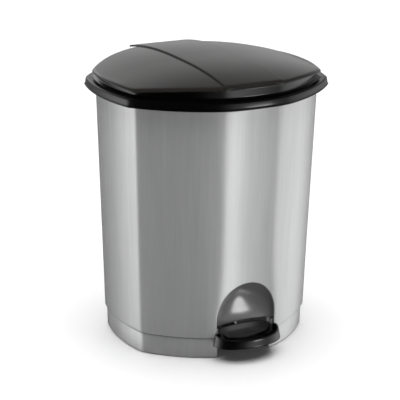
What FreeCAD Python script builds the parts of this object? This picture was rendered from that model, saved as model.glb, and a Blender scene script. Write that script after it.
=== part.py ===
import FreeCAD, Part
import math
import os

# Pedal trash can: an eight-sided tapered bin with a black collar, a domed hinged lid,
# a lift-out inner bucket and a foot pedal that lifts the lid through a lever and a push rod.
# Units are millimetres, +Z is up, the pedal side faces -Y and the floor is Z = 0.

V = FreeCAD.Vector
AXIS_X = V(1, 0, 0)
AXIS_Z = V(0, 0, 1)

# ---- plan of the bin, measured at the top of the body -------------------------------------
SIDE_CORNER = (125.0, 58.0)          # corner between a side facet and a diagonal facet
END_CORNER = (38.3, 118.5)           # corner between a diagonal facet and the front facet
FACET_RADIUS = 196.0                 # every facet bulges outward on this radius
BODY_TOP = 319.0
BASE_SCALE = 0.925                   # plan scale at the floor
INSET_SPAN = 120.0                   # mean distance from the centre line to a facet
FAR = 200.0                          # reach of cutting tools that stop outside the bin
FRONT_CREASE = ((0.0, 42.4), (50.0, 45.4), (85.0, 40.3), (122.0, 36.7), (BODY_TOP, 38.3))

# ---- shell and base -----------------------------------------------------------------------
WALL = 2.2
FOOT_PROUD = 0.8                     # rubber feet stand this far below the base
BAND_TOP = 28.0
BAND_INSET = 2.0
FLOOR_PLATE = (36.0, 38.5)
FIT = 0.2                            # assembly gap between moulded pieces
CUT_HALF = 38.0                      # half width of the pedal opening
CUT_TOP = 41.0
CUT_BACK = -84.0                     # the opening runs back into the floor plate to here
PILLAR_AT = (74.0, 52.0)
PILLAR_R = 9.0
PAD_TOP = 4.0                        # the rubber pads are this thick
STEM_R = 2.4
STEM_TOP = 14.0
STEM_ROOM = (2.5, 16.0)              # radius and top of the hole that takes a stem

# ---- foot niche ---------------------------------------------------------------------------
NICHE_Y = -112.0                     # plane of the arch's rim
NICHE_SPRING = 50.0                  # the arch is straight-sided below this height
NICHE_FOOT = 40.0                    # lower edge of the scoop
NICHE_HALF = 40.5
NICHE_RISE = 45.5
NICHE_DEPTH = 16.0
NICHE_WALL = 2.0
NICHE_LIP = 2.5                      # the scoop's mouth is this much inside the arch
FLANGE_GROW = 6.0                    # the flange laps this far behind the shell
FLANGE_T = 2.0

# ---- collar -------------------------------------------------------------------------------
COLLAR_SCALE = 1.094
COLLAR_TOP = 329.0
COLLAR_MOUTH = 0.85
COLLAR_WALL = 2.2
COLLAR_SKIRT_BOTTOM = 308.0
COLLAR_DRAFT = 0.012                 # fall of the plan scale from foot to top of the collar
COLLAR_EDGE = 0.02                   # wall of the outer face, as a share of plan scale
COLLAR_SKIRT = 0.016                 # wall of the inner skirt, as a share of plan scale
NOTCH_HALF = 8.0                     # notch in the collar for the lift arm and the clevis
NOTCH_Y = (90.0, 127.5)

# ---- lid ----------------------------------------------------------------------------------
LID_SCALE = 1.03
SKIRT_SCALE = (1.03, 1.0)            # at its lower edge, above its flare
SKIRT_FLARE_TOP = 335.0
CROWN = 355.3
ARCH_DROP = 9.0                      # fall of the crown from the middle to the front edge
ARCH_SPAN = 122.0
ARCH_POWER = 2.6
SIDE_DROP = 15.3                     # fall of the crown from the middle to the side corners
SIDE_SPAN = 128.0
SIDE_POWER = 2.2
BAND_RAISE = 2.0
BAND_HALF = 38.3
LID_WALL = 2.5
LIP_DEPTH = 3.5
HOOD_REACH = 15.5                    # the hood runs this far behind the hinge axis
LID_EDGE = 0.025                     # wall at the edge of the cover, as a share of plan scale
HOOD_ROOM = (60.0, 118.0)            # half width and start of the cut that frees the hood
PLATE_HALF = 48.0                    # the skirt's back plate
PLATE_Y = (106.0, 123.0)
PLATE_Z = (339.0, 341.0)
SKIRT_GAP = (50.0, 112.0)            # half width and start of the gap in the skirt at the hinge
WEB_FRONT = 118.5                    # webs join the lid's knuckles to the plate from here
LID_SPAN = (320.0, 370.0)            # heights between which the lid is cut out

# ---- hinge --------------------------------------------------------------------------------
HINGE_Y = 128.5
HINGE_Z = 335.5
LID_SWING = 70.0
BARREL_R = 4.0
HINGE_PIN_R = 2.0
PIN_GAP = 0.06                       # radial running clearance on a pin
BRACKET_KNUCKLE = (24.0, 32.0)
LID_KNUCKLE = (14.0, 23.5)
BRACKET_T = 1.8
BRACKET_BASE = (46.0, 117.5, 125.0)  # half width, front and back of the bracket's base
BRACKET_TAIL = (26.0, 129.0, 132.2)
PIN_HEAD = (1.2, 1.5)                # overhang and thickness of the hinge pin's head

# ---- lift arm and push rod ----------------------------------------------------------------
CLEVIS_Y = 115.5
CLEVIS_Z = 326.6
CLEVIS_PIN_R = 1.5
ARM_SLOT = (12.6, 16.4)              # slot centres, measured from the hinge axis
ARM_SLOT_HALF = 2.5
ARM_HALF = 2.5                       # half thickness of the lift arm
ARM_WIDTH = 4.3                      # half width of the arm blade
ARM_REST = 35.0                      # the blade hangs this far below horizontal
ARM_POST = (106.0, 334.0)            # front and underside of the arm's upright part
ARM_FOOT = (13.0, 107.5, 116.5, 337.0)
ARM_TOP = 338.8
ROD_R = 2.0
ROD_SOCKET = 0.5                     # the rod stops this far short of the fork
FORK_R = 5.5
FORK_GAP = 0.6                       # room on each side of the arm in the fork
FORK_ROOT = 7.0                      # solid length of the clevis below its slot
FORK_HALF_Y = 3.0
FORK_DEPTH = 9.0                     # depth of the clevis slot below its pin
CLEVIS_PIN_HALF = 5.2
ROD_FOOT_Y = 102.0
ROD_FOOT_Z = 10.5
GUIDE_R = 4.0
GUIDE_FLANGE = (1.8, 1.6)            # overhang and thickness of the lower bush's flange
GUIDE_LOW = 34.0
GUIDE_LIFT = 0.35                    # the flange clears the floor plate by this much
GUIDE_BLOCK = (9.0, 109.0, 125.0, 282.0, 296.0)
FOOT_R = 4.0                         # nose radius of the cap under the rod
FOOT_FLOOR = 2.0                     # the rod stands this far above the tip of the cap
ROD_END = CLEVIS_Z - FORK_DEPTH - ROD_SOCKET

# ---- pedal --------------------------------------------------------------------------------
PIVOT_Y = -45.0
PIVOT_Z = 14.0
AXLE_R = 3.0
PIVOT_RIB = (14.0, 17.0)
RIB_REACH = 12.0                     # a rib runs this far before and behind the axle
RIB_LOW = 6.0
HUB_WALL = 3.0
HUB_GAP = 0.6
AXLE_OVERHANG = 2.0
CLIP = (2.4, 1.2)                    # width of the ring and thickness of an axle clip
STRAP_HALF = 10.0
STRAP_T = 3.0
STRAP_PATH = ((-129.0, 20.0), (-45.0, 20.0), (-12.0, 10.0), (107.0, 8.5))
TREAD_BACK = -112.5
TREAD_FOOT = (46.0, 31.5, 18.5)      # half width, reach and height of its lower edge
TREAD_LIP = (43.0, 29.5, 31.0)       # half width, reach and height of its upper edge
TREAD_FLOOR = 24.0
TREAD_WALL = 3.0
DISH_SLOPE = 9.0                     # the dish's floor is this much inside its lip
UNDER_SLOPE = 6.0
NECK_HALF = 36.0
NECK_Y = (-116.5, -96.0)
NECK_WALL = 2.5
NECK_TOP = 35.0
STRAP_ROOM = (0.1, -129.5, -90.0, 10.0)

# ---- inner bucket -------------------------------------------------------------------------
BUCKET_FLOOR = 41.0
BUCKET_BOTTOM_SCALE = 0.68
BUCKET_TOP_SCALE = 0.845
BUCKET_WALL = 2.0
RIM_SCALE = 0.875
RIM_T = 2.5
BAIL_RADIUS = 103.5
BAIL_WIRE_R = 1.8
BAIL_Z = 325.0                       # height of the bail's pegs in the bucket wall
BAIL_TILT = 5.9                      # the loop rises over the front rim by this angle
BAIL_PEG_END = 115.0
GRIP_R = 3.2
GRIP_SPREAD = 15.0                   # half the angle of wire that the grip covers

# ---- fasteners ----------------------------------------------------------------------------
SCREW_R = 1.7
SCREW_HEAD_R = 3.4
SCREW_HEAD_H = 2.0
DRIVE_DEPTH = 1.1
DRIVE_LENGTH = 4.0
DRIVE_WIDTH = 0.9
BRACKET_SCREW = (40.0, 121.0, 8.0)   # distance from the middle, y and shank length
ARM_SCREW = (9.0, 112.0, 4.0)
TREAD_SCREW = (6.0, -122.5, 5.0)


def save(name, shape):
    """Write one node and report its size."""
    shape.exportStep("parts/%s.step" % name)
    box = shape.BoundBox
    print("%-18s solids %d  x %.1f..%.1f  y %.1f..%.1f  z %.1f..%.1f" % (
        name, len(shape.Solids), box.XMin, box.XMax, box.YMin, box.YMax, box.ZMin, box.ZMax))


def box(x0, x1, y0, y1, z0, z1):
    return Part.makeBox(x1 - x0, y1 - y0, z1 - z0, V(x0, y0, z0))


def cyl(radius, start, end):
    """Cylinder between two points."""
    run = end - start
    return Part.makeCylinder(radius, run.Length, start, run)


def mirror_x(shape):
    return shape.mirror(V(0, 0, 0), AXIS_X)


def both_sides(shape):
    return shape.fuse(mirror_x(shape))


def screw_holes(place, z0, z1):
    """Pair of upright clearance cylinders at the places of a pair of screws."""
    across, y, _ = place
    return both_sides(cyl(SCREW_R, V(across, y, z0), V(across, y, z1)))


def interpolate(table, z):
    """Straight-line value between the rows of a two-column table."""
    previous = table[0]
    for row in table[1:]:
        if z <= row[0]:
            share = (z - previous[0]) / (row[0] - previous[0])
            return previous[1] + share * (row[1] - previous[1])
        previous = row
    return table[-1][1]


def body_scale(z):
    return BASE_SCALE + (1.0 - BASE_SCALE) * z / BODY_TOP


def corners(scale, front_half):
    """Eight plan corners, anticlockwise from the right-hand front side corner."""
    sx, sy = SIDE_CORNER[0] * scale, SIDE_CORNER[1] * scale
    ex, ey = END_CORNER[0] * scale, END_CORNER[1] * scale
    return [(sx, -sy), (sx, sy), (ex, ey), (-ex, ey),
            (-sx, sy), (-sx, -sy), (-front_half, -ey), (front_half, -ey)]


def outline(scale, z, front_half=None):
    """Closed wire of eight outward-bulged facets at height z."""
    half = END_CORNER[0] * scale if front_half is None else front_half
    points = corners(scale, half)
    edges = []
    for index, start in enumerate(points):
        end = points[(index + 1) % len(points)]
        chord = math.dist(start, end)
        bulge = chord * chord / (8.0 * FACET_RADIUS * scale)
        middle = ((start[0] + end[0]) / 2.0, (start[1] + end[1]) / 2.0)
        normal = ((end[1] - start[1]) / chord, (start[0] - end[0]) / chord)
        top = (middle[0] + normal[0] * bulge, middle[1] + normal[1] * bulge)
        edges.append(Part.Arc(V(start[0], start[1], z), V(top[0], top[1], z),
                              V(end[0], end[1], z)).toShape())
    return Part.Wire(edges)


def prism(scale0, z0, scale1, z1):
    """Solid eight-sided block between two heights."""
    return Part.makeLoft([outline(scale0, z0), outline(scale1, z1)], True, True)


def body_block(z0, z1, inset):
    """Solid with the outside form of the body moved inward by inset."""
    levels = [z0] + [row[0] for row in FRONT_CREASE if z0 < row[0] < z1] + [z1]
    wires = []
    for z in levels:
        shrink = inset / INSET_SPAN
        half = interpolate(FRONT_CREASE, z) * (1.0 - shrink)
        wires.append(outline(body_scale(z) - shrink, z, half))
    block = Part.makeLoft([wires[0], wires[1]], True, True)
    for lower, upper in zip(wires[1:], wires[2:]):
        block = block.fuse(Part.makeLoft([lower, upper], True, True))
    return block


def ellipsoid(rx, ry, rz, centre):
    """Ball stretched to three radii."""
    ball = Part.makeSphere(1.0)
    stretch = FreeCAD.Matrix()
    stretch.scale(rx, ry, rz)
    ball = ball.transformGeometry(stretch)
    ball.translate(centre)
    return ball


def screw(point, direction, length):
    """Pan-head screw whose head sits at point and whose shank runs along direction."""
    unit = V(direction).normalize()
    head = cyl(SCREW_HEAD_R, point - unit * SCREW_HEAD_H, point)
    shank = cyl(SCREW_R, point, point + unit * length)
    long, thin = DRIVE_LENGTH / 2.0, DRIVE_WIDTH / 2.0
    cross = box(-long, long, -thin, thin, -DRIVE_DEPTH, DRIVE_DEPTH)
    cross = cross.fuse(box(-thin, thin, -long, long, -DRIVE_DEPTH, DRIVE_DEPTH))
    cross.Placement = FreeCAD.Placement(point - unit * SCREW_HEAD_H,
                                        FreeCAD.Rotation(AXIS_Z, unit))
    return head.fuse(shank).cut(cross)


# ---- fixed housing ------------------------------------------------------------------------
def make_outer_shell():
    outside = body_block(BAND_TOP, BODY_TOP, 0.0)
    inside = body_block(BAND_TOP - 1.0, BODY_TOP + 1.0, WALL)
    return outside.cut(inside).cut(arch_cutter(0.0))


def arch_cutter(grow):
    """The arched foot opening as a straight prism running front to back."""
    half = NICHE_HALF + grow
    rise = NICHE_RISE + grow
    start, end = -FAR, -60.0
    ellipse = Part.Ellipse(V(0, start, NICHE_SPRING + rise), V(half, start, NICHE_SPRING),
                           V(0, start, NICHE_SPRING))
    face = Part.Face(Part.Wire([ellipse.toShape()]))
    arch = face.extrude(V(0, end - start, 0))
    arch = arch.common(box(-FAR, FAR, start, end, NICHE_SPRING, FAR))
    return arch.fuse(box(-half, half, start, end, BAND_TOP - 5.0, NICHE_SPRING))


def pillar_points():
    return [(sx * PILLAR_AT[0], sy * PILLAR_AT[1]) for sx in (-1, 1) for sy in (-1, 1)]


def rod_axis():
    """Unit vector along the push rod, leaning back with the taper of the body."""
    return V(0, CLEVIS_Y - ROD_FOOT_Y, CLEVIS_Z - ROD_FOOT_Z).normalize()


def rod_point(z):
    """Point on the push rod's centre line at height z."""
    share = (z - ROD_FOOT_Z) / (CLEVIS_Z - ROD_FOOT_Z)
    return V(0, ROD_FOOT_Y + share * (CLEVIS_Y - ROD_FOOT_Y), z)


def make_base_pan():
    low, high = FLOOR_PLATE
    band = body_block(FOOT_PROUD, BAND_TOP, BAND_INSET)
    spigot = body_block(BAND_TOP, high, WALL + FIT)
    hollow = body_block(FOOT_PROUD - 1.0, low, WALL + FIT + WALL)
    pan = band.fuse(spigot).cut(hollow)
    pan = pan.cut(box(-CUT_HALF, CUT_HALF, -FAR, CUT_BACK, -1.0, CUT_TOP))
    root = (low + high) / 2.0
    ribs = both_sides(box(PIVOT_RIB[0], PIVOT_RIB[1], PIVOT_Y - RIB_REACH, PIVOT_Y + RIB_REACH,
                          RIB_LOW, root))
    for x, y in pillar_points():
        ribs = ribs.fuse(cyl(PILLAR_R, V(x, y, PAD_TOP), V(x, y, root)))
    pan = pan.fuse(ribs)
    pan = pan.cut(pivot_cylinder(AXLE_R, FAR))
    pan = pan.cut(cyl(GUIDE_R + FIT, rod_point(low - 8), rod_point(high + 8)))
    for x, y in pillar_points():
        pan = pan.cut(cyl(STEM_ROOM[0], V(x, y, PAD_TOP - 1.0), V(x, y, STEM_ROOM[1])))
    return pan.removeSplitter()


def make_rubber_feet():
    feet = []
    for x, y in pillar_points():
        pad = cyl(PILLAR_R, V(x, y, 0), V(x, y, PAD_TOP))
        stem = cyl(STEM_R, V(x, y, PAD_TOP), V(x, y, STEM_TOP))
        feet.append(pad.fuse(stem))
    return Part.makeCompound(feet)


def scoop_volume(half, depth, rise):
    """Half-dome over a straight elliptical trough, both centred on the rim plane."""
    dome = ellipsoid(half, depth, rise, V(0, NICHE_Y, NICHE_SPRING))
    dome = dome.common(box(-FAR, FAR, -FAR, 0, NICHE_SPRING, FAR))
    low = V(0, NICHE_Y, NICHE_FOOT)
    ellipse = Part.Ellipse(low + V(half, 0, 0), low + V(0, depth, 0), low)
    face = Part.Face(Part.Wire([ellipse.toShape()]))
    return dome.fuse(face.extrude(V(0, 0, NICHE_SPRING - NICHE_FOOT)))


def make_foot_niche():
    """Concave scoop behind the arched opening with a flange against the inside of the shell."""
    inner = scoop_volume(NICHE_HALF - NICHE_LIP, NICHE_DEPTH, NICHE_RISE - NICHE_LIP)
    outside = NICHE_LIP - NICHE_WALL
    outer = scoop_volume(NICHE_HALF - outside, NICHE_DEPTH + NICHE_WALL, NICHE_RISE - outside)
    room = box(-FAR, FAR, NICHE_Y - 1.0, 0, NICHE_FOOT, FAR)
    inside = body_block(BAND_TOP - 1.0, BODY_TOP, WALL + FIT)
    scoop = outer.cut(inner).common(room).common(inside)
    ring = inside.cut(body_block(BAND_TOP - 2.0, BODY_TOP, WALL + FIT + FLANGE_T))
    flange = ring.common(arch_cutter(FLANGE_GROW)).cut(arch_cutter(-NICHE_WALL)).common(room)
    return scoop.fuse(flange).removeSplitter()


def make_rim_collar():
    """Inverted channel that caps the body and carries the bucket flange."""
    top = COLLAR_TOP
    face = prism(COLLAR_SCALE, BODY_TOP, COLLAR_SCALE - COLLAR_DRAFT, top)
    inner = COLLAR_SCALE - COLLAR_EDGE
    face = face.cut(prism(inner, BODY_TOP - 1, inner - 0.008, top - COLLAR_WALL))
    seat_inside = 1.0 - COLLAR_EDGE
    seat = prism(1.0, BODY_TOP, 1.0, top)
    seat = seat.cut(prism(seat_inside, BODY_TOP - 1, seat_inside, top + 1))
    skirt_scale = body_scale(COLLAR_SKIRT_BOTTOM) - (WALL + FIT) / INSET_SPAN
    skirt = prism(skirt_scale, COLLAR_SKIRT_BOTTOM, skirt_scale, top)
    bore_scale = skirt_scale - COLLAR_SKIRT
    skirt = skirt.cut(prism(bore_scale, COLLAR_SKIRT_BOTTOM - 1, bore_scale, top + 1))
    collar = face.fuse(seat).fuse(skirt)
    collar = collar.cut(prism(COLLAR_MOUTH, top - 20, COLLAR_MOUTH, top + 1))
    collar = collar.cut(box(-NOTCH_HALF, NOTCH_HALF, NOTCH_Y[0], NOTCH_Y[1], top - 29, top + 1))
    return collar.cut(screw_holes(BRACKET_SCREW, top - 8, top + 1)).removeSplitter()


def hinge_cylinder(radius, x0, x1):
    return cyl(radius, V(x0, HINGE_Y, HINGE_Z), V(x1, HINGE_Y, HINGE_Z))


def pivot_cylinder(radius, half):
    return cyl(radius, V(-half, PIVOT_Y, PIVOT_Z), V(half, PIVOT_Y, PIVOT_Z))


def both_knuckles(span):
    """The x ranges of a knuckle and its mirror image."""
    return (span, (-span[1], -span[0]))


def make_hinge_bracket():
    low, high = COLLAR_TOP, COLLAR_TOP + BRACKET_T
    half, front, back = BRACKET_BASE
    base = box(-half, half, front, back, low, high)
    half, front, back = BRACKET_TAIL
    base = base.fuse(box(-half, half, front, back, low, high))
    for x0, x1 in both_knuckles(BRACKET_KNUCKLE):
        cheek = box(x0, x1, HINGE_Y - BARREL_R, HINGE_Y + BARREL_R - 1.0, low, HINGE_Z)
        base = base.fuse(hinge_cylinder(BARREL_R, x0, x1)).fuse(cheek)
    base = base.cut(hinge_cylinder(HINGE_PIN_R, -FAR, FAR))
    base = base.cut(box(-NOTCH_HALF, NOTCH_HALF, 110, HINGE_Y + 0.5, low - 1, high + 1))
    return base.cut(screw_holes(BRACKET_SCREW, low - 2, high + 2)).removeSplitter()


def make_hinge_pin():
    end = BRACKET_KNUCKLE[1]
    shaft = hinge_cylinder(HINGE_PIN_R, -end, end + 1.0)
    return shaft.fuse(hinge_cylinder(HINGE_PIN_R + PIN_HEAD[0], -end - PIN_HEAD[1], -end))


def make_rod_guide_bottom():
    """Bush with a flange around the leaning rod."""
    z0, z1 = GUIDE_LOW, FLOOR_PLATE[1] + GUIDE_LIFT
    bush = cyl(GUIDE_R, rod_point(z0), rod_point(z1))
    flange = cyl(GUIDE_R + GUIDE_FLANGE[0], rod_point(z1), rod_point(z1 + GUIDE_FLANGE[1]))
    return bush.fuse(flange).cut(cyl(ROD_R + PIN_GAP, rod_point(z0 - 3), rod_point(z1 + 5)))


def make_rod_guide_top():
    """Block fixed to the back wall of the shell with a bore for the rod."""
    half, front, back, low, high = GUIDE_BLOCK
    block = box(-half, half, front, back, low, high)
    block = block.common(body_block(BAND_TOP, BODY_TOP, WALL))
    return block.cut(cyl(ROD_R + PIN_GAP, rod_point(low - 10), rod_point(high + 10)))


# ---- lid ----------------------------------------------------------------------------------
def crown_height(x, y):
    """Height of the lid surface over a plan point."""
    arch = ARCH_DROP * abs(y / ARCH_SPAN) ** ARCH_POWER
    side = SIDE_DROP * min(1.0, abs(x / SIDE_SPAN)) ** SIDE_POWER
    return CROWN - arch - side


def under_crown(lift):
    """Solid filling everything below the lid surface raised by lift."""
    reach_x, reach_y, count = 150.0, 150.0, 21
    rows = []
    for i in range(count):
        x = -reach_x + 2.0 * reach_x * i / (count - 1)
        row = []
        for j in range(count):
            y = -reach_y + 2.0 * reach_y * j / (count - 1)
            row.append(V(x, y, crown_height(x, y) + lift))
        rows.append(row)
    surface = Part.BSplineSurface()
    surface.interpolate(rows)
    return surface.toShape().extrude(V(0, 0, -80))


def make_lid_cover():
    """Domed cover: thin shell with a deeper lip around its edge and a raised middle band."""
    low, high = LID_SPAN
    outer = prism(LID_SCALE, low, LID_SCALE, high)
    band = box(-BAND_HALF, BAND_HALF, -FAR, HINGE_Y + HOOD_REACH, low, high)
    hood = box(-BAND_HALF, BAND_HALF, 110, HINGE_Y + HOOD_REACH, low, high)
    raised = under_crown(BAND_RAISE).common(outer.fuse(hood)).common(band)
    solid = under_crown(0.0).common(outer).fuse(raised)
    inner = prism(LID_SCALE - LID_EDGE, low, LID_SCALE - LID_EDGE, high)
    cavity = under_crown(-LID_WALL).common(inner)
    back = box(-HOOD_ROOM[0], HOOD_ROOM[0], HOOD_ROOM[1], FAR, low - 20, high + 20)
    lower = under_crown(-LIP_DEPTH).cut(back)
    hood_clear = under_crown(BAND_RAISE - LID_WALL).common(back)
    return solid.cut(cavity).cut(lower).cut(hood_clear).removeSplitter()


def make_lid_frame():
    """Skirt that sits on the collar, with the back plate and the moving knuckles."""
    low, high = COLLAR_TOP + 0.5, CROWN + 0.7
    wide, narrow = SKIRT_SCALE
    wall = LID_WALL / INSET_SPAN
    ring = prism(wide, low, narrow, SKIRT_FLARE_TOP)
    ring = ring.fuse(prism(narrow, SKIRT_FLARE_TOP, narrow, high))
    ring = ring.cut(prism(wide - wall, low - 0.01, narrow - wall, SKIRT_FLARE_TOP))
    ring = ring.cut(prism(narrow - wall, SKIRT_FLARE_TOP, narrow - wall, high + 1))
    ring = ring.common(under_crown(-LID_WALL - FIT))
    gap_half, gap_front = SKIRT_GAP
    ring = ring.cut(box(-gap_half, gap_half, gap_front, FAR, low - 1, PLATE_Z[0] + 0.5))
    plate = box(-PLATE_HALF, PLATE_HALF, PLATE_Y[0], PLATE_Y[1], PLATE_Z[0], PLATE_Z[1])
    plate = plate.common(prism(1.0, low, 1.0, high))
    frame = ring.fuse(plate.common(under_crown(-LID_WALL - FIT)))
    for x0, x1 in both_knuckles(LID_KNUCKLE):
        web = box(x0, x1, WEB_FRONT, HINGE_Y, HINGE_Z - 1.0, PLATE_Z[1] - 1.0)
        frame = frame.fuse(hinge_cylinder(BARREL_R, x0, x1)).fuse(web)
    frame = frame.cut(hinge_cylinder(HINGE_PIN_R + PIN_GAP, -FAR, FAR))
    return frame.cut(screw_holes(ARM_SCREW, low, PLATE_Z[1] + 1)).removeSplitter()


def make_lift_arm():
    """Blade on the hinge pin with a radial slot; a foot screws it under the lid's back plate."""
    axis = V(0, HINGE_Y, HINGE_Z)
    tip = V(0, -ARM_SLOT[1], 0)
    half = V(ARM_HALF, 0, 0)
    blade = box(-ARM_HALF, ARM_HALF, -ARM_SLOT[1], -BARREL_R + 1.0, -ARM_WIDTH, ARM_WIDTH)
    blade = blade.fuse(cyl(ARM_WIDTH, tip - half, tip + half))
    blade.rotate(V(0, 0, 0), AXIS_X, ARM_REST)
    blade.translate(axis)
    hub = hinge_cylinder(BARREL_R, -ARM_HALF, ARM_HALF)
    front, low = ARM_POST
    post = box(-ARM_HALF, ARM_HALF, front, HINGE_Y - BARREL_R, low, ARM_TOP)
    post = post.fuse(box(-ARM_HALF, ARM_HALF, HINGE_Y - BARREL_R - 1.0, HINGE_Y, HINGE_Z, ARM_TOP))
    half, front, back, low = ARM_FOOT
    foot = box(-half, half, front, back, low, ARM_TOP)
    arm = blade.fuse(hub).fuse(post).fuse(foot)
    arm = arm.cut(slot_space(axis))
    arm = arm.cut(hinge_cylinder(HINGE_PIN_R + PIN_GAP, -FAR, FAR))
    return arm.cut(screw_holes(ARM_SCREW, low - 1, ARM_TOP + 1)).removeSplitter()


def slot_space(axis):
    """The slot of the lift arm as a cutting tool in its rest position."""
    slot = box(-9, 9, -ARM_SLOT[1], -ARM_SLOT[0], -ARM_SLOT_HALF, ARM_SLOT_HALF)
    for centre in ARM_SLOT:
        slot = slot.fuse(cyl(ARM_SLOT_HALF, V(-9, -centre, 0), V(9, -centre, 0)))
    slot.rotate(V(0, 0, 0), AXIS_X, ARM_REST)
    slot.translate(axis)
    return slot


# ---- push rod -----------------------------------------------------------------------------
def make_push_rod():
    return cyl(ROD_R, rod_point(ROD_FOOT_Z + FOOT_FLOOR), rod_point(ROD_END))


def make_rod_foot():
    """Round-nosed cap that the lever pushes on."""
    centre = rod_point(ROD_FOOT_Z + FOOT_R)
    nose = Part.makeSphere(FOOT_R, centre)
    nose = nose.common(box(-FAR, FAR, 0, FAR, 0, centre.z + 1.0))
    return nose.cut(cyl(ROD_R, rod_point(ROD_FOOT_Z + FOOT_FLOOR), rod_point(ROD_END)))


def make_rod_clevis():
    """Fork on top of the rod; its two cheeks pass either side of the lift arm."""
    slot_floor = CLEVIS_Z - FORK_DEPTH
    body = cyl(FORK_R, rod_point(slot_floor - FORK_ROOT), rod_point(CLEVIS_Z + 3.0))
    body = body.common(box(-FAR, FAR, 0, CLEVIS_Y + FORK_HALF_Y, 0, FAR + FAR))
    gap_half = ARM_HALF + FORK_GAP
    body = body.cut(box(-gap_half, gap_half, 0, FAR, slot_floor, FAR + FAR))
    body = body.cut(cyl(ROD_R, rod_point(ROD_FOOT_Z), rod_point(ROD_END)))
    return body.cut(clevis_cylinder(FAR))


def clevis_cylinder(half):
    return cyl(CLEVIS_PIN_R, V(-half, CLEVIS_Y, CLEVIS_Z), V(half, CLEVIS_Y, CLEVIS_Z))


def make_clevis_pin():
    return clevis_cylinder(CLEVIS_PIN_HALF)


# ---- pedal --------------------------------------------------------------------------------
def strap_solid():
    """Bent steel strap: the path thickened in the plane of motion and widened along X."""
    lower = [V(-STRAP_HALF, y, z - STRAP_T / 2.0) for y, z in STRAP_PATH]
    upper = [V(-STRAP_HALF, y, z + STRAP_T / 2.0) for y, z in reversed(STRAP_PATH)]
    loop = lower + upper + [lower[0]]
    face = Part.Face(Part.makePolygon(loop))
    return face.extrude(V(2.0 * STRAP_HALF, 0, 0))


def make_pedal_lever():
    lever = strap_solid().fuse(pivot_cylinder(AXLE_R + HUB_WALL, PIVOT_RIB[0] - HUB_GAP))
    lever = lever.cut(pivot_cylinder(AXLE_R + PIN_GAP, FAR))
    return lever.cut(screw_holes(TREAD_SCREW, 0, TREAD_FLOOR)).removeSplitter()


def make_pedal_axle():
    return pivot_cylinder(AXLE_R, PIVOT_RIB[1] + AXLE_OVERHANG)


def make_axle_clips():
    """Open spring rings outside the pivot ribs."""
    ring, thickness = CLIP
    x0 = PIVOT_RIB[1]
    clip = cyl(AXLE_R + ring, V(x0, PIVOT_Y, PIVOT_Z), V(x0 + thickness, PIVOT_Y, PIVOT_Z))
    clip = clip.cut(pivot_cylinder(AXLE_R, FAR))
    half = ring / 2.0
    clip = clip.cut(box(0, FAR, PIVOT_Y - half, PIVOT_Y + half, 0, PIVOT_Z - 1))
    return Part.makeCompound([clip, mirror_x(clip)])


def tread_outline(half, reach, z):
    """D-shaped wire: straight back edge and a half-ellipse toward the user."""
    back = V(0, TREAD_BACK, z)
    ellipse = Part.Ellipse(V(half, TREAD_BACK, z), V(0, TREAD_BACK - reach, z), back)
    arc = Part.Arc(ellipse, 0.0, math.pi)
    return Part.Wire([arc.toShape(), Part.makeLine(arc.value(math.pi), arc.value(0.0))])


def make_pedal_tread():
    """Scoop-shaped foot tread with a flared skirt and a walled neck that closes its back."""
    half0, reach0, z0 = TREAD_FOOT
    half1, reach1, z1 = TREAD_LIP
    outer = Part.makeLoft([tread_outline(half0, reach0, z0), tread_outline(half1, reach1, z1)],
                          True, True)
    dish = Part.makeLoft([tread_outline(half1 - DISH_SLOPE, reach1 - DISH_SLOPE, TREAD_FLOOR),
                          tread_outline(half1 - TREAD_WALL, reach1 - TREAD_WALL, z1 + 0.5)],
                         True, True)
    ceiling = TREAD_FLOOR - TREAD_WALL
    under = Part.makeLoft([tread_outline(half0 - TREAD_WALL, reach0 - TREAD_WALL, z0 - 0.5),
                           tread_outline(half0 - UNDER_SLOPE, reach0 - UNDER_SLOPE, ceiling)],
                          True, True)
    neck = box(-NECK_HALF, NECK_HALF, NECK_Y[0], NECK_Y[1], ceiling, TREAD_FLOOR)
    walls = both_sides(box(NECK_HALF - NECK_WALL, NECK_HALF, NECK_Y[0], NECK_Y[1],
                           ceiling, NECK_TOP))
    heel = box(-NECK_HALF, NECK_HALF, NECK_Y[1] - NECK_WALL, NECK_Y[1], ceiling, NECK_TOP)
    tread = outer.cut(dish).cut(under).fuse(neck).fuse(walls).fuse(heel)
    gap, front, back, low = STRAP_ROOM
    strap_top = STRAP_PATH[0][1] + STRAP_T / 2.0
    tread = tread.cut(box(-STRAP_HALF - gap, STRAP_HALF + gap, front, back, low, strap_top))
    return tread.cut(screw_holes(TREAD_SCREW, low, TREAD_FLOOR - 0.4)).removeSplitter()


# ---- inner bucket -------------------------------------------------------------------------
def make_inner_bucket():
    top = COLLAR_TOP + RIM_T
    wall = BUCKET_WALL / INSET_SPAN
    outer = prism(BUCKET_BOTTOM_SCALE, BUCKET_FLOOR, BUCKET_TOP_SCALE, top)
    inner = prism(BUCKET_BOTTOM_SCALE - wall, BUCKET_FLOOR + BUCKET_WALL,
                  BUCKET_TOP_SCALE - wall, top + 0.01)
    rim = prism(RIM_SCALE, COLLAR_TOP, RIM_SCALE, top)
    bucket = outer.fuse(rim).cut(inner)
    holes = cyl(BAIL_WIRE_R, V(-FAR, 0, BAIL_Z), V(FAR, 0, BAIL_Z))
    return bucket.cut(holes).removeSplitter()


def wire_loop(radius, start, angle):
    """Part of a round wire ring about the bail's pegs, measured in degrees from +X."""
    loop = Part.makeTorus(BAIL_RADIUS, radius, V(0, 0, 0), AXIS_Z, 0, 360, angle)
    loop.rotate(V(0, 0, 0), AXIS_Z, start)
    loop.rotate(V(0, 0, 0), AXIS_X, -BAIL_TILT)
    loop.translate(V(0, 0, BAIL_Z))
    return loop


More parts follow.
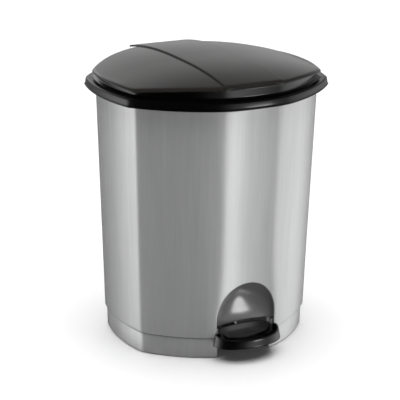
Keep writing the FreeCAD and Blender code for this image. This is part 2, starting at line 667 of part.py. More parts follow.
def make_bail_handle():
    """Half-round wire lying over the front of the bucket, with a peg through each side wall."""
    loop = wire_loop(BAIL_WIRE_R, 180, 180)
    knee = Part.makeSphere(BAIL_WIRE_R, V(BAIL_RADIUS, 0, BAIL_Z))
    peg = cyl(BAIL_WIRE_R, V(BAIL_RADIUS, 0, BAIL_Z), V(BAIL_PEG_END, 0, BAIL_Z))
    return loop.fuse(both_sides(knee.fuse(peg))).removeSplitter()


def make_bail_grip():
    """Plastic sleeve around the middle of the wire."""
    sleeve = wire_loop(GRIP_R, 270 - GRIP_SPREAD, 2.0 * GRIP_SPREAD)
    core = wire_loop(BAIL_WIRE_R, 180, 180)
    return sleeve.cut(core)


# ---- fasteners ----------------------------------------------------------------------------
def screw_pair(place, z, direction):
    """Two screws at mirrored places with their heads at height z."""
    across, y, length = place
    return Part.makeCompound([screw(V(x, y, z), direction, length) for x in (-across, across)])


def make_bracket_screws():
    return screw_pair(BRACKET_SCREW, COLLAR_TOP + BRACKET_T, V(0, 0, -1))


def make_arm_screws():
    return screw_pair(ARM_SCREW, ARM_FOOT[3], AXIS_Z)


def make_tread_screws():
    return screw_pair(TREAD_SCREW, STRAP_PATH[0][1] - STRAP_T / 2.0, AXIS_Z)


NODES = {
    "outer_shell": make_outer_shell,
    "base_pan": make_base_pan,
    "rubber_feet": make_rubber_feet,
    "foot_niche": make_foot_niche,
    "rim_collar": make_rim_collar,
    "hinge_bracket": make_hinge_bracket,
    "hinge_pin": make_hinge_pin,
    "rod_guide_bottom": make_rod_guide_bottom,
    "rod_guide_top": make_rod_guide_top,
    "lid_cover": make_lid_cover,
    "lid_frame": make_lid_frame,
    "lift_arm": make_lift_arm,
    "push_rod": make_push_rod,
    "rod_foot": make_rod_foot,
    "rod_clevis": make_rod_clevis,
    "clevis_pin": make_clevis_pin,
    "pedal_lever": make_pedal_lever,
    "pedal_tread": make_pedal_tread,
    "pedal_axle": make_pedal_axle,
    "axle_clips": make_axle_clips,
    "inner_bucket": make_inner_bucket,
    "bail_handle": make_bail_handle,
    "bail_grip": make_bail_grip,
    "bracket_screws": make_bracket_screws,
    "arm_screws": make_arm_screws,
    "tread_screws": make_tread_screws,
}

os.makedirs("parts", exist_ok=True)
for node, maker in NODES.items():
    save(node, maker())
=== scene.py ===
# %% [markdown]
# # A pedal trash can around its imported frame
# The mechanism comes in as fixed CAD nodes. The moulded pieces that give the bin its look are
# worked out here as surfaces: one plan outline, scaled and lifted, makes nearly all of them.

# %% Load the frame
import bmesh
import bpy
import numpy as np
from mathutils import Matrix


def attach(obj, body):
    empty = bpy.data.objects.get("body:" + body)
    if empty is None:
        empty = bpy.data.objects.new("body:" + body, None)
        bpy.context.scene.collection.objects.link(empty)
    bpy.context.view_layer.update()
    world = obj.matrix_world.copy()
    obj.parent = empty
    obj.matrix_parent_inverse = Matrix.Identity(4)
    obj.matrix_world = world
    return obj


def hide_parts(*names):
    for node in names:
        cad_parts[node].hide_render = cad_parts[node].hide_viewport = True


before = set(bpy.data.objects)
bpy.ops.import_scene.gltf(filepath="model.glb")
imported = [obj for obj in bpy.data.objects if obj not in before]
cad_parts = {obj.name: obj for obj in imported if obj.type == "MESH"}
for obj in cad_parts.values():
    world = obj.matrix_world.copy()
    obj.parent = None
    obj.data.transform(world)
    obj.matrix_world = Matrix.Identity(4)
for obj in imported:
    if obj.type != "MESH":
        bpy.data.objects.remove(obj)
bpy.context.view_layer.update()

# %% [markdown]
# The bin is shown from the front left and a little above with a long lens, as in a catalogue.
# The view is set first, because the choice of detail depends on what it shows.

# %% Camera
AZIMUTH, ELEVATION, ROLL = np.radians([-27.5994, 18.4632, 0.6878])
DISTANCE, AIM_HEIGHT = 1.99927, 0.15955
LENS, SHIFT = 141.63, (-0.0131, 0.0151)


def make_camera():
    """Camera on a ray from the aim point, its sideways axis level and then rolled a little."""
    back = np.array([np.sin(AZIMUTH) * np.cos(ELEVATION),
                     -np.cos(AZIMUTH) * np.cos(ELEVATION), np.sin(ELEVATION)])
    side = np.cross(-back, [0, 0, 1])
    side /= np.linalg.norm(side)
    up = np.cross(side, -back)
    rolled = np.cos(ROLL) * side + np.sin(ROLL) * up
    lifted = -np.sin(ROLL) * side + np.cos(ROLL) * up
    place = np.array([0, 0, AIM_HEIGHT]) + back * DISTANCE
    columns = np.eye(4)
    columns[:3, 0], columns[:3, 1], columns[:3, 2], columns[:3, 3] = rolled, lifted, back, place
    data = bpy.data.cameras.new("catalogue_camera")
    data.sensor_width = 36.0
    data.lens = LENS
    data.shift_x, data.shift_y = SHIFT
    camera = bpy.data.objects.new("catalogue_camera", data)
    bpy.context.scene.collection.objects.link(camera)
    camera.matrix_world = Matrix(columns.tolist())
    return camera


bpy.context.scene.camera = make_camera()
print("camera at", np.round(bpy.context.scene.camera.matrix_world.translation, 3))

# %% [markdown]
# Every moulded piece shares one plan: eight facets that each bulge a little. In direction theta
# the wall is as far out as the nearest of eight arcs, so the outline is a smallest-of-eight
# formula. A soft minimum rounds each crease, as a mould does.

# %% Plan outline
MM = 0.001
BODY_TOP, BAND_TOP, FOOT = 319.0, 28.0, 0.8
BASE_SCALE = 0.925
FACET_RADIUS = 196.0
SIDE_CORNER, END_CORNER = (125.0, 58.0), (38.3, 118.5)
INSET_SPAN = 120.0  # an inset in mm over this is a share of the plan
SHARP = np.radians(38)  # edges that turn more than this stay crisp
CREASE_Z = np.array([0.0, 50.0, 85.0, 122.0, 319.0])
CREASE_X = np.array([42.4, 45.4, 40.3, 36.7, 38.3])


def body_scale(z):
    """Plan scale grows in a straight line from the floor to the top of the body."""
    return BASE_SCALE + (1.0 - BASE_SCALE) * np.asarray(z, float) / BODY_TOP


def front_half(z):
    """Half width of the front facet: it widens round the foot niche, by a smoothed line."""
    wide = np.linspace(-12.0, 12.0, 9)
    return np.mean([np.interp(np.asarray(z, float) + w, CREASE_Z, CREASE_X) for w in wide], axis=0)


def plan_radius(theta, scale, half=None, crease=0.55):
    """Distance to the wall: soft minimum over eight arcs, each through two plan corners."""
    theta, scale = np.broadcast_arrays(np.asarray(theta, float), np.asarray(scale, float))
    side_x, side_y = SIDE_CORNER[0] * scale, SIDE_CORNER[1] * scale
    end_x, end_y = END_CORNER[0] * scale, END_CORNER[1] * scale
    half = end_x if half is None else np.broadcast_to(half, theta.shape)
    cx = np.stack([side_x, side_x, end_x, -end_x, -side_x, -side_x, -half, half], -1)
    cy = np.stack([-side_y, side_y, end_y, end_y, side_y, -side_y, -end_y, -end_y], -1)
    dx, dy = np.roll(cx, -1, -1) - cx, np.roll(cy, -1, -1) - cy
    chord = np.hypot(dx, dy)
    bulge = chord ** 2 / (8 * FACET_RADIUS * scale[..., None])
    radius = (chord ** 2 / 4 + bulge ** 2) / (2 * bulge)
    ox = cx + dx / 2 + dy / chord * (bulge - radius)
    oy = cy + dy / 2 - dx / chord * (bulge - radius)
    along = np.sin(theta)[..., None] * ox - np.cos(theta)[..., None] * oy
    reach = along + np.sqrt(along ** 2 - ox ** 2 - oy ** 2 + radius ** 2)
    nearest = reach.min(-1, keepdims=True)
    soft = np.exp(-(reach - nearest) / crease).sum(-1)
    return nearest[..., 0] - crease * np.log(soft)


def ring_angles(count):
    """Directions around the plan, measured from the pedal side, the last one left off."""
    return np.linspace(-np.pi, np.pi, count, endpoint=False)


THETA = ring_angles(480)
print("half width at the top", round(float(plan_radius(np.pi / 2, 1.0)), 1), "mm")

# %% [markdown]
# A surface is an array of points, rows by columns. Four neighbours make a face, so the whole
# face list is one array expression too. Doubles are merged and normals recalculated, because
# poles and seams meet edge to edge.

# %% From arrays to a mesh


def grid_faces(rows, columns, wrap_rows=False, wrap_columns=False):
    """Each face joins point (i, j) with its next neighbours along the row and the column."""
    i = np.arange(rows if wrap_rows else rows - 1)
    j = np.arange(columns if wrap_columns else columns - 1)
    a, b = np.meshgrid(i, j, indexing="ij")
    a2, b2 = (a + 1) % rows, (b + 1) % columns
    return np.stack([a * columns + b, a * columns + b2, a2 * columns + b2, a2 * columns + b],
                    -1).reshape(-1, 4)


def make_piece(name, grids, weld=1e-6):
    """Mesh from several (points, wrap_rows, wrap_columns) grids in millimetres, welded."""
    points, faces, base = [], [], 0
    for grid, wrap_rows, wrap_columns in grids:
        faces.append(grid_faces(grid.shape[0], grid.shape[1], wrap_rows, wrap_columns) + base)
        points.append(grid.reshape(-1, 3) * MM)
        base += grid.shape[0] * grid.shape[1]
    mesh = bpy.data.meshes.new(name)
    mesh.from_pydata(np.concatenate(points), [], np.concatenate(faces))
    build = bmesh.new()
    build.from_mesh(mesh)
    bmesh.ops.remove_doubles(build, verts=build.verts, dist=weld)
    bmesh.ops.dissolve_degenerate(build, edges=build.edges, dist=1e-7)
    bmesh.ops.recalc_face_normals(build, faces=build.faces)
    build.to_mesh(mesh)
    build.free()
    mesh.polygons.foreach_set("use_smooth", np.ones(len(mesh.polygons), bool))
    mesh.set_sharp_from_angle(angle=SHARP)
    piece = bpy.data.objects.new(name, mesh)
    bpy.context.scene.collection.objects.link(piece)
    print(name, len(mesh.polygons), "faces")
    return piece


CORNER_STEPS = 4


def soften(corners, radius, steps=CORNER_STEPS):
    """Closed polygon with each corner cut back by radius and bridged by a quadratic curve."""
    points = np.asarray(corners, float)
    before, after = np.roll(points, 1, 0), np.roll(points, -1, 0)
    radius = np.broadcast_to(np.asarray(radius, float), len(points))
    len_in = np.linalg.norm(before - points, axis=1)
    len_out = np.linalg.norm(after - points, axis=1)
    cut = np.minimum(radius, 0.45 * np.minimum(len_in, len_out))[:, None]
    start = points + (before - points) / len_in[:, None] * cut
    end = points + (after - points) / len_out[:, None] * cut
    t = np.linspace(0, 1, steps)[None, :, None]
    curve = (1 - t) ** 2 * start[:, None] + 2 * t * (1 - t) * points[:, None] + t ** 2 * end[:, None]
    return curve.reshape(-1, 2)


def around(scale, height, theta=THETA):
    """Points of the outline at plan scale and height, one row per profile point."""
    reach = plan_radius(theta[None, :], np.ones((len(scale), 1)))
    reach = np.asarray(scale, float).reshape(len(scale), -1) * reach
    height = np.broadcast_to(np.asarray(height, float).reshape(len(scale), -1), reach.shape)
    return np.stack([reach * np.sin(theta), -reach * np.cos(theta), height], -1)


# %% [markdown]
# Shader sums are written as plain expressions. A small class wraps an output socket, and each
# operator adds the Math node it stands for.

# %% A small language for materials
class Value:
    """One number output of a node tree. Arithmetic on it adds Math nodes."""

    def __init__(self, nodes, socket):
        self.nodes, self.socket = nodes, socket

    def math(self, operation, first, second):
        """Math node on two numbers, either of which may be a Value."""
        return self.nodes.node("ShaderNodeMath", {"operation": operation}, {0: first, 1: second})

    def __add__(self, other): return self.math("ADD", self, other)
    def __radd__(self, other): return self.math("ADD", other, self)
    def __sub__(self, other): return self.math("SUBTRACT", self, other)
    def __rsub__(self, other): return self.math("SUBTRACT", other, self)
    def __mul__(self, other): return self.math("MULTIPLY", self, other)
    def __rmul__(self, other): return self.math("MULTIPLY", other, self)
    def __rpow__(self, other): return self.math("POWER", other, self)


class Nodes:
    """A node tree that is filled through one method."""

    def __init__(self, tree):
        self.tree = tree

    def node(self, kind, settings, inputs, output=0):
        """Any node: its type, its settings, the values or links of its sockets."""
        made = self.tree.nodes.new(kind)
        for key, value in settings.items():
            setattr(made, key, value)
        for key, value in inputs.items():
            if isinstance(value, Value):
                self.tree.links.new(value.socket, made.inputs[key])
            else:
                made.inputs[key].default_value = value
        return Value(self, made.outputs[output])


class Finish(Nodes):
    """A node material: principled shader plus whatever varies over the surface."""

    def __init__(self, name, color, roughness, metallic=0.0, coat=0.0, coat_roughness=0.1,
                 specular=0.5):
        self.material = bpy.data.materials.new(name)
        self.material.use_nodes = True
        super().__init__(self.material.node_tree)
        self.shader = self.tree.nodes["Principled BSDF"]
        settings = {"Base Color": (*color, 1.0), "Roughness": roughness, "Metallic": metallic,
                    "Coat Weight": coat, "Coat Roughness": coat_roughness,
                    "Specular IOR Level": specular}
        for key, value in settings.items():
            self.shader.inputs[key].default_value = value
        self.place = self.node("ShaderNodeTexCoord", {}, {}, "Object")

    def noise(self, scale, detail=3.0, stretch=(1, 1, 1)):
        """Cloudy value around a half, in object space, stretched along an axis if asked."""
        place = self.node("ShaderNodeMapping", {}, {"Vector": self.place, "Scale": stretch})
        return self.node("ShaderNodeTexNoise", {}, {"Vector": place, "Scale": scale,
                                                    "Detail": detail})

    def feed(self, socket, value):
        """Lets a Value drive one socket of the shader."""
        self.tree.links.new(value.socket, self.shader.inputs[socket])
        return self

    def tint(self, mask, low, high):
        """Base colour mixed between two shades by a mask."""
        mix = self.tree.nodes.new("ShaderNodeMix")
        mix.data_type = "RGBA"
        self.tree.links.new(mask.socket, mix.inputs[0])
        mix.inputs[6].default_value = (*low, 1.0)
        mix.inputs[7].default_value = (*high, 1.0)
        self.tree.links.new(mix.outputs[2], self.shader.inputs["Base Color"])
        return self

    def bump(self, height, strength, distance):
        """Tilts the normal by the slope of a height Value."""
        bumped = self.node("ShaderNodeBump", {}, {"Strength": strength, "Distance": distance,
                                                  "Height": height})
        return self.feed("Normal", bumped)


def shades(color, spread):
    """Two neighbouring shades of a colour, darker and lighter by a share."""
    low = tuple(float(c) * (1 - spread) for c in color)
    high = tuple(min(1.0, float(c) * (1 + spread)) for c in color)
    return low, high


def plastic(name, color, roughness, grain=500.0, depth=0.00004, spread=0.06, **more):
    """Moulded plastic: faint cloudiness in colour and gloss over a very fine grain."""
    finish = Finish(name, color, roughness, **more)
    cloud = finish.noise(9.0)
    finish.tint(cloud, *shades(color, spread))
    finish.feed("Roughness", cloud * 0.10 + (roughness - 0.05))
    return finish.bump(finish.noise(grain, 2.0), 0.25, depth).material


def flake(name, color, roughness):
    """Silver plastic: aluminium flake drawn out by the mould flow into faint upright streaks."""
    finish = Finish(name, color, roughness, metallic=0.55)
    streak = finish.noise(260.0, 3.0, (1, 1, 0.03))
    broad = finish.noise(34.0, 2.0, (1, 1, 0.10))
    cloud = streak * 0.6 + broad * 0.4
    finish.tint(cloud, *shades(color, 0.16))
    finish.feed("Roughness", cloud * 0.16 + (roughness - 0.08))
    return finish.bump(finish.noise(900.0, 2.0), 0.2, 0.00002).material


def metal(name, color, roughness, stretch=(1, 1, 1), scale=120.0, spread=0.10):
    """Steel: drawn or rolled streaks along one axis in colour, gloss and relief."""
    finish = Finish(name, color, roughness, metallic=1.0)
    streak = finish.noise(scale, 4.0, stretch)
    finish.tint(streak, *shades(color, spread))
    finish.feed("Roughness", streak * 0.18 + (roughness - 0.09))
    return finish.bump(streak, 0.2, 0.00005).material


# %% [markdown]
# The body is grey plastic with aluminium flake. The flake makes it partly mirror-like, so each
# facet takes its tone from what stands in front of it. A half-metallic shader gives this.

# %% Silver, black and the rest
silver = flake("silver_body", (0.60, 0.603, 0.607), 0.19)
silver_band = flake("silver_base_band", (0.635, 0.638, 0.642), 0.21)
lid_black = plastic("lid_black", (0.016, 0.015, 0.014), 0.20, 700.0, 0.00002, 0.05,
                    coat=0.2, coat_roughness=0.12)
collar_black = plastic("collar_black", (0.0015, 0.0015, 0.0015), 0.17, 700.0, 0.00002, 0.05,
                       specular=0.8)
pedal_black = plastic("pedal_black", (0.002, 0.002, 0.002), 0.22, 600.0, 0.00003, 0.05,
                      specular=1.0)
# painted light: a lighter copy of the pedal's black for the dish floor, standing for the light that falls
# into the dish
pedal_dish_painted_light = plastic("pedal_dish_painted_light", (0.034, 0.034, 0.034), 0.38, 600.0, 0.00003, 0.05)
niche_grey = plastic("niche_grey", (0.145, 0.145, 0.146), 0.20, 700.0, 0.00002, 0.05,
                     coat=0.9, coat_roughness=0.16, specular=0.8)
bucket_grey = plastic("bucket_grey", (0.10, 0.10, 0.105), 0.45, 500.0, 0.00006)
guide_white = plastic("guide_natural", (0.75, 0.74, 0.70), 0.40)
grip_black = plastic("grip_black", (0.04, 0.04, 0.042), 0.55, 600.0, 0.00008)
foot_rubber = plastic("foot_rubber", (0.03, 0.03, 0.03), 0.85, 700.0, 0.0001)
rod_steel = metal("rod_drawn_steel", (0.56, 0.56, 0.55), 0.32, (8, 8, 0.3))
strap_steel = metal("strap_rolled_steel", (0.52, 0.52, 0.51), 0.38, (8, 0.4, 8))
pin_steel = metal("pin_turned_steel", (0.60, 0.60, 0.59), 0.28, (0.3, 8, 8))
bracket_black = plastic("bracket_paint", (0.04, 0.04, 0.042), 0.38, 400.0, 0.00006)
print(len(bpy.data.materials), "materials")


def dress(obj, material, body, nodes=(), solid=None, bevel=None):
    """Material, optional wall thickness and edge rounding, body and replaced nodes."""
    obj.data.materials.clear()
    obj.data.materials.append(material)
    if solid is not None:
        wall = obj.modifiers.new("wall", "SOLIDIFY")
        wall.thickness, wall.offset, wall.use_even_offset = solid * MM, -1.0, True
    if bevel is not None:
        edge = obj.modifiers.new("edge", "BEVEL")
        edge.width, edge.segments, edge.limit_method = bevel * MM, 3, "ANGLE"
        edge.angle_limit = np.radians(50)
    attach(obj, body)
    if nodes:
        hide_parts(*nodes)
    return obj


# %% [markdown]
# The shell is a tapered tube with an arched foot opening. The tube's grid leaves a window at
# the front, and a second grid fills the window between its edge and the arch. The wall
# thickness comes from a Solidify modifier, which also makes the rim of the opening.

# %% Outer shell
ARCH_HALF, ARCH_SPRING, ARCH_RISE = 40.5, 50.0, 45.5
WINDOW_ANGLE = np.radians(30.0)
WINDOW_TOP = 126.0


def wall_point(theta, z, inset=0.0):
    """Point on the body's outer wall, moved inward by inset."""
    scale = body_scale(z) - inset / INSET_SPAN
    reach = plan_radius(theta, scale, front_half(z) * (1 - inset / INSET_SPAN))
    return np.stack([reach * np.sin(theta), -reach * np.cos(theta),
                     np.broadcast_to(z, reach.shape)], -1)


def wall_angle(x, z, inset=0.0):
    """Direction whose wall point has the given x, found by repeated correction."""
    x, z = np.broadcast_arrays(np.asarray(x, float), np.asarray(z, float))
    theta = np.arcsin(np.clip(x / 115.0, -0.9, 0.9))
    for _ in range(12):
        reach = plan_radius(theta, body_scale(z) - inset / INSET_SPAN, front_half(z))
        theta = np.arcsin(np.clip(x / reach, -0.95, 0.95))
    return theta


def arch_path(share, half, spring, rise, foot):
    """Upside-down U: straight legs up to the spring line, half an ellipse over them."""
    leg = spring - foot
    curve = np.pi * np.sqrt((half ** 2 + rise ** 2) / 2)
    travel = share * (2 * leg + curve)
    turn = np.clip((travel - leg) / curve, 0, 1) * np.pi
    x = -half * np.cos(turn)
    z = np.where(travel < leg, foot + travel,
                 np.where(travel > leg + curve, foot + (2 * leg + curve - travel),
                          spring + rise * np.sin(turn)))
    return x, z


def shell_grids():
    """Wall above the window, wall beside it, and a patch from the arch to the window's edge."""
    rows_low = np.linspace(BAND_TOP, WINDOW_TOP, 25)
    rows_high = np.linspace(WINDOW_TOP, BODY_TOP, 30)
    inside = np.abs(THETA) <= WINDOW_ANGLE + 1e-9
    middle = THETA[inside]
    right = THETA[THETA > WINDOW_ANGLE - 1e-9]
    left = THETA[THETA < -WINDOW_ANGLE + 1e-9]
    rest = np.concatenate([right, left])
    upper = wall_point(THETA[None, :], rows_high[:, None])
    lower = wall_point(rest[None, :], rows_low[:, None])
    edge_theta = np.concatenate([np.full(len(rows_low), middle[0]), middle[1:-1],
                                 np.full(len(rows_low), middle[-1])])
    edge_z = np.concatenate([rows_low, np.full(len(middle) - 2, WINDOW_TOP), rows_low[::-1]])
    x, z = arch_path(np.linspace(0, 1, len(edge_z)), ARCH_HALF, ARCH_SPRING, ARCH_RISE, BAND_TOP)
    arch_theta = wall_angle(x, z)
    blend = np.linspace(0, 1, 13)[:, None] ** 1.3
    patch = wall_point(arch_theta * (1 - blend) + edge_theta * blend, z * (1 - blend) + edge_z * blend)
    return [(upper, False, True), (lower, False, False), (patch, False, False)]


shell = dress(make_piece("body_shell", shell_grids()), silver, "housing",
              ["outer_shell"], solid=2.2, bevel=0.6)

# %% [markdown]
# The base band is a slightly smaller copy of the wall below the shell, open at the front for
# the pedal. Its lower edge is rounded under, a narrow groove parts it from the shell, and it
# carries the floor plate.

# %% Base band and floor
CUT_HALF, CUT_BACK = 38.0, -84.0
BAND_INSET = 2.0
FLOOR_LOW, FLOOR_HIGH, FLOOR_INSET = 36.0, 38.4, 4.5
GROOVE_TOP, GROOVE_DEPTH, BAND_WALL = BAND_TOP - 1.4, 1.4, 2.8


def band_grid(inset, heights, insets):
    """Wall strip that stops at the pedal opening on both sides."""
    heights, insets = np.asarray(heights, float), np.asarray(insets, float)
    edge = wall_angle(CUT_HALF, heights, inset)
    share = np.linspace(0, 1, 421)[None, :]
    theta = edge[:, None] * (1 - share) + (2 * np.pi - edge[:, None]) * share
    scale = body_scale(heights) - (inset + insets) / INSET_SPAN
    half = front_half(heights) * scale / body_scale(heights)
    reach = plan_radius(theta, scale[:, None], half[:, None])
    return np.stack([reach * np.sin(theta), -reach * np.cos(theta),
                     np.broadcast_to(heights[:, None], reach.shape)], -1)


profile = soften([(0.0, FOOT), (0.0, GROOVE_TOP - 0.2), (GROOVE_DEPTH, GROOVE_TOP),
                  (GROOVE_DEPTH, FLOOR_HIGH), (BAND_WALL, FLOOR_HIGH), (BAND_WALL, FOOT)],
                 [1.2, 0.25, 0.1, 0.4, 0.4, 0.6])
band = band_grid(BAND_INSET, profile[:, 1], profile[:, 0])
band_caps = [np.stack([side, np.broadcast_to(side.mean(0), side.shape)])
             for side in (band[:, 0], band[:, -1])]
dress(make_piece("base_band", [(band, True, False)] + [(cap, False, True) for cap in band_caps]),
      silver_band, "housing", ["base_pan"])


def plate_grid(inset, low, high, front_cut):
    """Flat plate with the body's plan, cut straight at the front, from its middle outward."""
    share = np.array([0.0, 0.35, 0.7, 1.0, 1.0, 0.7, 0.35, 0.0])
    height = np.array([high] * 4 + [low] * 4)
    scale = body_scale(height) - inset / INSET_SPAN
    reach = plan_radius(THETA[None, :], scale[:, None]) * share[:, None]
    y = np.maximum(-reach * np.cos(THETA), front_cut * share[:, None])
    return np.stack([reach * np.sin(THETA), y, np.broadcast_to(height[:, None], reach.shape)], -1)


floor_grid = plate_grid(FLOOR_INSET, FLOOR_LOW, FLOOR_HIGH, CUT_BACK)
dress(make_piece("base_floor", [(floor_grid, False, True)]),
      silver_band, "housing", ["base_pan"])

# %% [markdown]
# Under the floor plate stand two ribs that hold the pedal's axle and four pillars for the
# rubber feet. Ribs are bevelled boxes. Pillars are short lathe profiles.

# %% Ribs and pillars


def block(name, low, high, bevel):
    """Box between two corners, its edges rounded by a Bevel modifier."""
    corner = np.array([[x, y, z] for x in (0, 1) for y in (0, 1) for z in (0, 1)], float)
    points = np.asarray(low, float) + corner * (np.asarray(high, float) - np.asarray(low, float))
    quads = [(0, 1, 3, 2), (4, 6, 7, 5), (0, 4, 5, 1), (2, 3, 7, 6), (0, 2, 6, 4), (1, 5, 7, 3)]
    mesh = bpy.data.meshes.new(name)
    mesh.from_pydata(points * MM, [], quads)
    made = bpy.data.objects.new(name, mesh)
    bpy.context.scene.collection.objects.link(made)
    edge = made.modifiers.new("edge", "BEVEL")
    edge.width, edge.segments = bevel * MM, 3
    mesh.polygons.foreach_set("use_smooth", np.ones(len(quads), bool))
    mesh.set_sharp_from_angle(angle=SHARP)
    return made


def lathe(profile, centre, axis="Z", count=48):
    """Profile of (radius, height) turned about an axis through centre."""
    turn = np.linspace(0, 2 * np.pi, count, endpoint=False)
    profile = np.asarray(profile, float)
    radial = profile[:, 0][:, None]
    a, b = radial * np.cos(turn), radial * np.sin(turn)
    h = np.broadcast_to(profile[:, 1][:, None], a.shape)
    parts = {"Z": (a, b, h), "X": (h, a, b)}[axis]
    return np.stack(parts, -1) + np.asarray(centre, float)


def closed_cylinder(radius, low, high, edge, bore=0.0):
    """Cylinder profile with rounded edges, closed on the axis or round a bore."""
    if bore:
        return soften([(bore, low), (radius, low), (radius, high), (bore, high)], edge)
    outer = soften([(0, low), (radius, low), (radius, high), (0, high)], edge)
    return np.concatenate([[(0.0, low)], outer[CORNER_STEPS:3 * CORNER_STEPS], [(0.0, high)]])


RIB_X, RIB_Y, RIB_FOOT = (14.0, 17.0), (-57, -33), 6
RIB_TOP = FLOOR_LOW + 0.2
PILLAR_X, PILLAR_Y, PILLAR_RADIUS, PILLAR_FOOT = 74, 52, 9.0, 4.0
for side, name in ((-1, "axle_rib_left"), (1, "axle_rib_right")):
    low_x, high_x = sorted((side * RIB_X[0], side * RIB_X[1]))
    rib = block(name, (low_x, RIB_Y[0], RIB_FOOT), (high_x, RIB_Y[1], RIB_TOP), 0.4)
    dress(rib, silver_band, "housing", ["base_pan"])
pillar = closed_cylinder(PILLAR_RADIUS, PILLAR_FOOT, RIB_TOP, 0.5)
pillars = [(lathe(pillar, (x, y, 0)), False, True)
           for x in (-PILLAR_X, PILLAR_X) for y in (-PILLAR_Y, PILLAR_Y)]
# painted shade: the pillars belong to the silver base pan but take the dark niche grey, which stands for
# the shade inside the base
dress(make_piece("foot_pillars", pillars), niche_grey, "housing", ["base_pan"])

# %% [markdown]
# The foot niche is a dark scoop behind the arch: each rim point runs back and in to a centre
# line along a quarter of a cosine, so a section is a quarter ellipse. A smooth step in height
# leans the back wall away toward its top.

# %% Foot niche
SCOOP_MOUTH, SCOOP_FOOT = -112.0, 40.0
SCOOP_DEPTH, LEAN, LEAN_HEIGHT = 12.0, 8.5, 38.0
SPINE_DROP = 0.43  # fall of the centre line, as a share of the arch's rise
RIM_GROW, FLANGE_GROW = 0.6, 6.5
BEHIND_RIM, BEHIND_FLANGE = 2.3, 2.6
share = np.linspace(0, 1, 121)
rim_x, rim_z = arch_path(share, ARCH_HALF + RIM_GROW, ARCH_SPRING, ARCH_RISE + RIM_GROW, SCOOP_FOOT)
rim_y = wall_point(wall_angle(rim_x, rim_z), rim_z)[..., 1] + BEHIND_RIM
depth = np.linspace(0, np.pi / 2, 33)[:, None]
spine_z = rim_z - SPINE_DROP * np.maximum(rim_z - ARCH_SPRING, 0)
scoop_x, scoop_z = rim_x * np.cos(depth), spine_z + (rim_z - spine_z) * np.cos(depth)
height_share = np.clip((scoop_z - SCOOP_FOOT) / LEAN_HEIGHT, 0, 1)
back_y = SCOOP_MOUTH + SCOOP_DEPTH + LEAN * height_share ** 2 * (3 - 2 * height_share)
scoop = np.stack([scoop_x, rim_y + (back_y - rim_y) * np.sin(depth), scoop_z], -1)
flare_x, flare_z = arch_path(share, ARCH_HALF + FLANGE_GROW, ARCH_SPRING, ARCH_RISE + FLANGE_GROW,
                             SCOOP_FOOT)
flare_y = wall_point(wall_angle(flare_x, flare_z), flare_z)[..., 1] + BEHIND_FLANGE
flare = np.stack([flare_x, flare_y, flare_z], -1)[None]
niche = make_piece("foot_niche_scoop", [(np.concatenate([flare, scoop]), False, False)])
dress(niche, niche_grey, "housing", ["foot_niche"], solid=1.8)

# %% [markdown]
# The collar is one section carried round the plan: an outer face with a small bead, a flat top
# running in to the mouth, and a skirt that drops inside the shell. At the back the section is
# pushed outward over a few degrees, which opens the notch for the lift arm.

# %% Rim collar
NOTCH_HALF, NOTCH_DEPTH, NOTCH_FLOOR = 8.0, 127.5, 321.0
corner_mm = np.array([
    # distance out, height
    (131.3, 319.0), (132.3, 319.9), (131.3, 321.6), (130.2, 329.0), (102.0, 329.0),
    (102.0, 326.6), (115.0, 326.6), (115.0, 308.0), (116.9, 308.0), (117.1, 318.8),
    (120.0, 319.3), (120.0, 326.6), (128.4, 326.6), (129.1, 319.0)])
corner_round = [0.5, 0.9, 0.9, 1.6, 0.8, 0.8, 0.6, 0.5, 0.5, 0.4, 0.3, 0.5, 0.5, 0.4]
collar_section = soften(corner_mm, corner_round)
scale = np.repeat(collar_section[:, :1] / INSET_SPAN, len(THETA), axis=1)
height = np.repeat(collar_section[:, 1:], len(THETA), axis=1)
top_reach = plan_radius(THETA, 1.0)
in_notch = (np.abs(top_reach * np.sin(THETA)) < NOTCH_HALF) & (np.cos(THETA) < 0)
notch_scale = NOTCH_DEPTH / np.maximum(-top_reach * np.cos(THETA), 1.0)
pushed = in_notch[None, :] & (scale < notch_scale[None, :])
scale = np.where(pushed, notch_scale[None, :], scale)
height = np.where(pushed, np.maximum(height, NOTCH_FLOOR), height)
collar = make_piece("rim_collar_ring", [(around(scale, height), True, True)])
dress(collar, collar_black, "housing", ["rim_collar"])

# %% [markdown]
# The lid's crown falls away from its middle: gently to the front and back, more to the sides.
# The cover is a set of rings from the middle out to the lip, round it and back underneath.

# %% Lid cover
CROWN, RAISE, BAND_HALF = 355.3, 2.0, 38.3
ARCH_DROP, ARCH_SPAN, ARCH_POWER = 9.0, 122.0, 2.6
SIDE_DROP, SIDE_SPAN, SIDE_POWER = 15.3, 128.0, 2.2
LID_SCALE, LIP, LIP_SPAN = 1.03, 4.5, 124


def crown_height(x, y):
    """Crown less an arch term in y and a side term in x, each a power of the distance."""
    arch = ARCH_DROP * np.abs(y / ARCH_SPAN) ** ARCH_POWER
    side = SIDE_DROP * np.minimum(np.abs(x / SIDE_SPAN), 1.0) ** SIDE_POWER
    return CROWN - arch - side


def over_crown(scale, drop, theta=THETA):
    """Rings of the plan outline laid on the crown, each lowered by its own drop."""
    rings = around(scale, np.zeros(len(scale)), theta)
    drop = np.asarray(drop, float).reshape(len(scale), -1)
    rings[..., 2] = crown_height(rings[..., 0], rings[..., 1]) - drop
    return rings


quarter = np.linspace(0, np.pi / 2, 9)
lip_share = LIP / LIP_SPAN
tucked = 1 - np.array([0.2, 1.0, 3.0, 3.4]) / LIP_SPAN
scale = np.concatenate([np.linspace(0, 1 - lip_share, 30), 1 - lip_share + lip_share * np.sin(quarter[1:]),
                        tucked, np.linspace(1 - 3.6 / LIP_SPAN, 0, 12)]) * LID_SCALE
drop = np.concatenate([np.zeros(30), LIP * 0.7 * (1 - np.cos(quarter[1:])),
                       [3.3, 3.6, 3.6, 3.2], np.full(12, 2.5)])
cover = make_piece("lid_cover_dome", [(over_crown(scale, drop), False, True)])
dress(cover, lid_black, "lid", ["lid_cover"])

